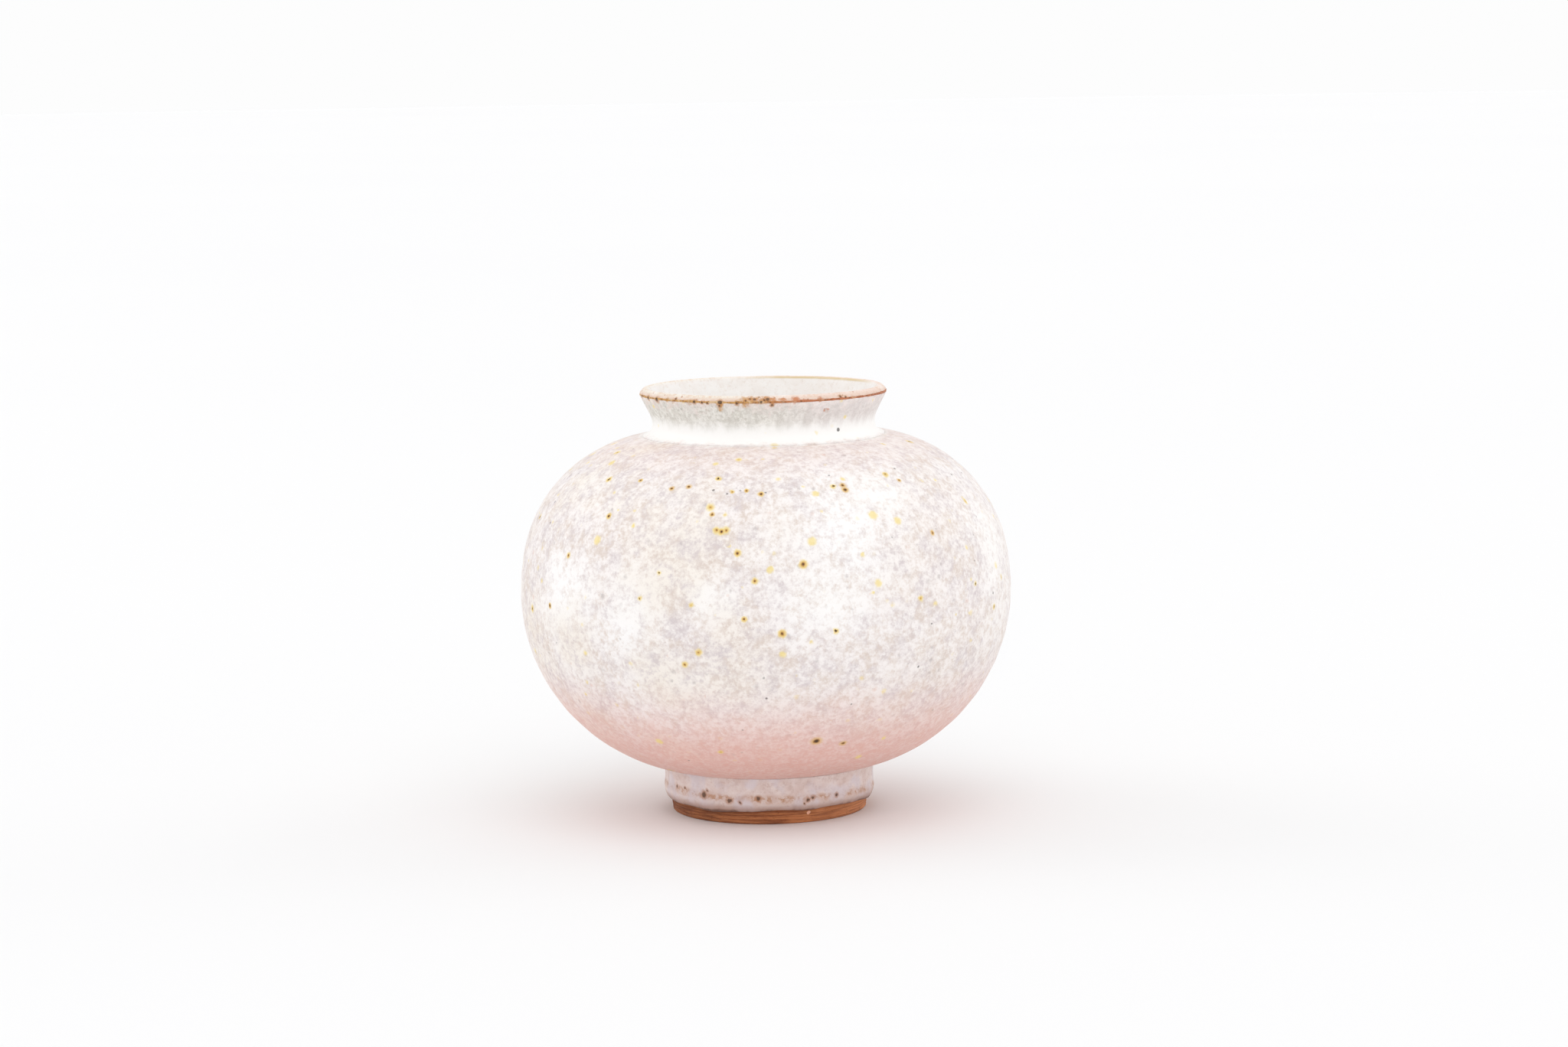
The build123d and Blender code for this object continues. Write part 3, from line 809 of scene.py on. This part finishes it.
def body_clay_finish():
    """Fired clay of the belly, closed in by the glaze on both sides."""
    f = Finish("fired_body_clay")
    grain = f.noise(0.4, 4, 0.7, seed=0.7)
    patch = f.noise(3.0, 2, 0.5, seed=5.2)
    colour = f.mix(f.step(grain, 0.35, 0.65), srgb(140, 92, 64), srgb(176, 128, 96))
    colour = f.mix(f.step(patch, 0.4, 0.6, 0.0, 0.4), colour, srgb(120, 76, 52))
    return f.finish(colour, f.step(grain, 0.3, 0.7, 0.85, 0.72), grain, 0.05)


# ---------------------------------------------------------------- the pieces

# The glaze's back ends a little way below the lip and inside its skin, and its edges are
# tucked under the round of the lip's edge
under_lip = polar(polar(flare_end, 0.4, 270 - flare_angle), 0.2, 180 - flare_angle)
tucked_round = edge_round - 0.15


def outline(step, *stretches):
    """Stretches of an outline end to end, with points an even distance apart."""
    return even(np.concatenate(stretches), step)


def pool_line(start, end, count=40):
    """Arc that leaves a point straight up or down and ends at another point."""
    across, rise = end[0] - start[0], end[1] - start[1]
    radius = (across * across + rise * rise) / (2 * across)
    swing = math.degrees(math.asin(rise / radius))
    return arc((start[0] + radius, start[1]), radius, 180, 180 - swing, count)


def make_belly_glaze():
    """The belly's glaze, from the foot up to the pool round the neck."""
    front = outline(0.32, belly_line(0, foot_joint_angle, pool_angle))
    back = outline(1.6, belly_line(glaze, foot_joint_angle, pool_angle)[::-1])
    piece = turn("speckled_belly_glaze", front, back, sides=440, relief=thrown)
    place(piece, "belly_glaze", belly_glaze_finish())


def make_neck_glaze():
    """The neck's glaze, from its pool up the flare, with closer rows at the lip."""
    pool_top = polar(shoulder_centre, shoulder_arc, pool_angle)
    clay = neck_radius - glaze
    last_rows = polar(flare_end, 0.45, 270 - flare_angle)
    flare = outline(0.08, [(pool_top[0] + 0.02, pool_top[1] - 0.03)],
                    pool_line((neck_radius, neck_height), pool_top)[::-1],
                    arc(curve_centre, neck_curve, 180, 180 - flare_angle)[1:], [last_rows])
    edge = outline(0.03, [last_rows], arc(edge_centre, edge_round, -flare_angle, -8, 4))
    back = outline(0.4, [polar(edge_centre, tucked_round, -15)],
                   pool_line((clay, neck_height), under_lip)[::-1],
                   [(clay, neck_glaze_seat), (pool_top[0] - 0.05, pool_top[1] - 0.3)])
    front = np.concatenate([flare[:-1], edge])
    piece = turn("pooled_neck_glaze", front, back, sides=420, relief=neck_skin)
    place(piece, "neck_glaze", neck_glaze_finish())


def make_neck_clay():
    """The neck's clay, which shows only as the rusty line at the lip's edge."""
    clay = neck_radius - glaze
    start = polar(polar(flare_end, 0.04, 270 - flare_angle), 0.08, 180 - flare_angle)
    front = outline(0.045, [start], arc(edge_centre, edge_round, -26, bevel_angle, 20))
    back = outline(0.3, arc(crown_centre, crown_clay, 60, lip_inner_angle, 12), [slope_start],
                   arc(throat_centre, throat_curve, 180 - flare_angle, 180, 12)[1:],
                   [(throat_radius, neck_clay_seat), (clay, neck_clay_seat)],
                   pool_line((clay, neck_height), under_lip))
    piece = turn("neck_with_rust_edge", front, back, sides=420, relief=fired_lip)
    place(piece, "neck", lip_clay_finish())


def liner_relief(points):
    """Depth of the liner: soft lumps inside, and the thin grainy glaze over the lip."""
    on_lip = smooth(points[:, 2], 39.5, 40.6)
    return smooth_inside(points) * (1 - on_lip) + lip_skin(points) * on_lip


def make_liner():
    """The glaze poured inside: over the lip, down the throat and round the bowl."""
    depth = glaze + wall + liner
    clay = depth - liner
    floor = belly_height - lower_arc + depth
    bore = throat_radius - liner
    inner_bend = (shoulder_centre[0] - throat_radius) + liner
    throat = outline(0.08, arc(edge_centre, edge_round, band_top_angle - 20, bevel_angle, 8),
                     arc(crown_centre, crown_round, bevel_angle, lip_inner_angle, 30),
                     arc(throat_centre, throat_curve + liner, 180 - flare_angle, 180, 16),
                     [(bore, turn_centre[1])])
    bowl = outline(0.8, arc(turn_centre, inner_bend, 180, 270, 16)[1:],
                   belly_line(depth, -90, 90)[::-1],
                   [(lower_centre[0], floor), (liner_tip, floor)])
    back = outline(1.0, [(liner_tip, floor - liner), (lower_centre[0], floor - liner)],
                   belly_line(clay, -90, 90),
                   arc(turn_centre, inner_bend - liner, 270, 180, 16)[1:],
                   [(throat_radius, throat_centre[1])],
                   arc(throat_centre, throat_curve, 180, 180 - flare_angle, 12)[1:],
                   arc(crown_centre, crown_clay, lip_inner_angle, 60, 12),
                   [polar(edge_centre, tucked_round, band_top_angle - 10)])
    piece = turn("cream_liner_and_lip", np.concatenate([throat, bowl]), back, sides=380,
                 relief=liner_relief, axis_after="front")
    place(piece, "liner_glaze", liner_finish())


def foot_wave(radius, height, turns):
    """The foot's glaze with a wavy lower edge and a tilted line between its rolls."""
    share = 1 - smooth(height, 1.5, 2.6)
    lift = (0.10 * np.sin(3 * turns + 0.4) + 0.07 * np.sin(7 * turns + 1.9)
            + 0.04 * np.sin(13 * turns))
    middle = np.exp(-(((height - foot_arris[1]) / 0.55) ** 2))
    return radius, height + share * lift - middle * (0.2 + 0.22 * np.sin(turns))


def make_foot_glaze():
    """The foot's glaze: a rounded lower lip and two soft rolls."""
    joint_top = polar(lower_centre, lower_arc, foot_joint_angle)
    front = outline(0.1, [foot_edge], through(foot_edge, (9.95, 1.28), foot_glaze_lip, 8)[1:],
                    through(foot_glaze_lip, foot_lower_roll, foot_arris)[1:],
                    through(foot_arris, foot_upper_roll, joint_top)[1:],
                    [(joint_top[0], joint_top[1] + 0.12)])
    back = outline(0.5, [(foot_top_radius, foot_clay_top),
                         (foot_edge[0] + 0.02, foot_edge[1] + 0.1)])
    piece = turn("rolled_foot_glaze", front, back, sides=400, relief=foot_skin, warp=foot_wave)
    place(piece, "foot_glaze", foot_glaze_finish())


def make_foot_ring():
    """The foot's clay, hollow underneath, with a bare edge that it stands on."""
    top = belly_height - lower_arc + glaze
    under = outline(0.3, [(foot_tip, recess_height), (recess_radius - 0.6, recess_height),
                          (recess_radius - 0.1, recess_height - 0.4),
                          (rim_inner_radius - 0.05, 0.4), (rim_inner_radius + 0.1, 0.08),
                          (rim_inner_radius + 0.35, 0)])
    side = outline(0.06, [(foot_base_radius - 0.16, 0), (foot_base_radius - 0.03, 0.06),
                          (foot_base_radius + 0.04, 0.3), foot_edge,
                          (foot_edge[0] + 0.12, 1.9)])
    back = outline(0.8, [(foot_top_radius, foot_clay_top), (9.0, 4.55),
                         (lower_centre[0], top), (foot_tip, top)])
    piece = turn("turned_foot", np.concatenate([under, side]), back, sides=360,
                 relief=turned_clay, axis_after="back")
    place(piece, "foot_ring", foot_clay_finish())


make_belly_glaze()
make_neck_glaze()
make_neck_clay()
make_liner()
make_foot_glaze()
make_foot_ring()

# The belly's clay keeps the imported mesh, in a clay of its own
belly_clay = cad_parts["belly"]
belly_clay.data.materials.clear()
belly_clay.data.materials.append(body_clay_finish())


# ---------------------------------------------------------------- stage, light and camera

def make_floor():
    """A wide pale floor, 6 metres in radius, whose end is out of sight."""
    f = Finish("pale_floor")
    cloth = f.noise(400.0, 2, 0.5, seed=0.5)
    colour = f.mix(cloth, srgb(243, 243, 244), srgb(245, 245, 245))
    material = f.finish(colour, 0.9, cloth, 0.01)
    bpy.ops.mesh.primitive_circle_add(vertices=96, radius=6.0, fill_type="NGON")
    floor = bpy.context.object
    floor.name = "floor"
    floor.data.materials.append(material)


def make_light(name, azimuth, elevation, strength, spread):
    """A very soft distant light from an azimuth and an elevation."""
    data = bpy.data.lights.new(name, "SUN")
    data.energy = strength
    data.angle = math.radians(spread)
    light = bpy.data.objects.new(name, data)
    across, up = math.radians(azimuth), math.radians(elevation)
    towards = -Vector((math.sin(across) * math.cos(up), -math.cos(across) * math.cos(up),
                       math.sin(up)))
    light.rotation_euler = towards.to_track_quat("-Z", "Y").to_euler()
    bpy.context.scene.collection.objects.link(light)


def make_camera():
    """The viewing place: a long lens a little above the vase, looking slightly down."""
    distance, height = 371.3, 73.3
    pitch, heading, tilt = 6.96, 0.285, 0.90
    data = bpy.data.cameras.new("camera")
    data.sensor_width = 36.0
    data.lens = 87.9
    data.clip_start = 0.01
    data.clip_end = 50.0
    camera = bpy.data.objects.new("camera", data)
    turned = (Matrix.Rotation(math.radians(-heading), 4, "Z")
              @ Matrix.Rotation(math.radians(90 - pitch), 4, "X")
              @ Matrix.Rotation(math.radians(-tilt), 4, "Z"))
    camera.matrix_world = Matrix.Translation(Vector((0, -distance, height)) * MM) @ turned
    bpy.context.scene.collection.objects.link(camera)
    bpy.context.scene.camera = camera


def make_world():
    """An even white studio, a little darker as light than it looks."""
    as_light, as_seen = 0.93, 0.982
    world = bpy.data.worlds.new("studio")
    world.use_nodes = True
    nodes, links = world.node_tree.nodes, world.node_tree.links
    sky = nodes["Background"]
    sky.inputs["Color"].default_value = (1, 1, 1, 1)
    path = nodes.new("ShaderNodeLightPath")
    strength = nodes.new("ShaderNodeMapRange")
    strength.inputs["To Min"].default_value = as_light
    strength.inputs["To Max"].default_value = as_seen
    links.new(path.outputs["Is Camera Ray"], strength.inputs["Value"])
    links.new(strength.outputs["Result"], sky.inputs["Strength"])
    bpy.context.scene.world = world


make_floor()
make_light("soft_key", azimuth=14, elevation=56, strength=0.36, spread=50)
make_light("left_rim", azimuth=-110, elevation=28, strength=0.28, spread=40)
make_light("right_rim", azimuth=115, elevation=28, strength=0.18, spread=40)
make_camera()
make_world()
bpy.context.scene.view_settings.view_transform = "Standard"
bpy.context.scene.view_settings.look = "None"
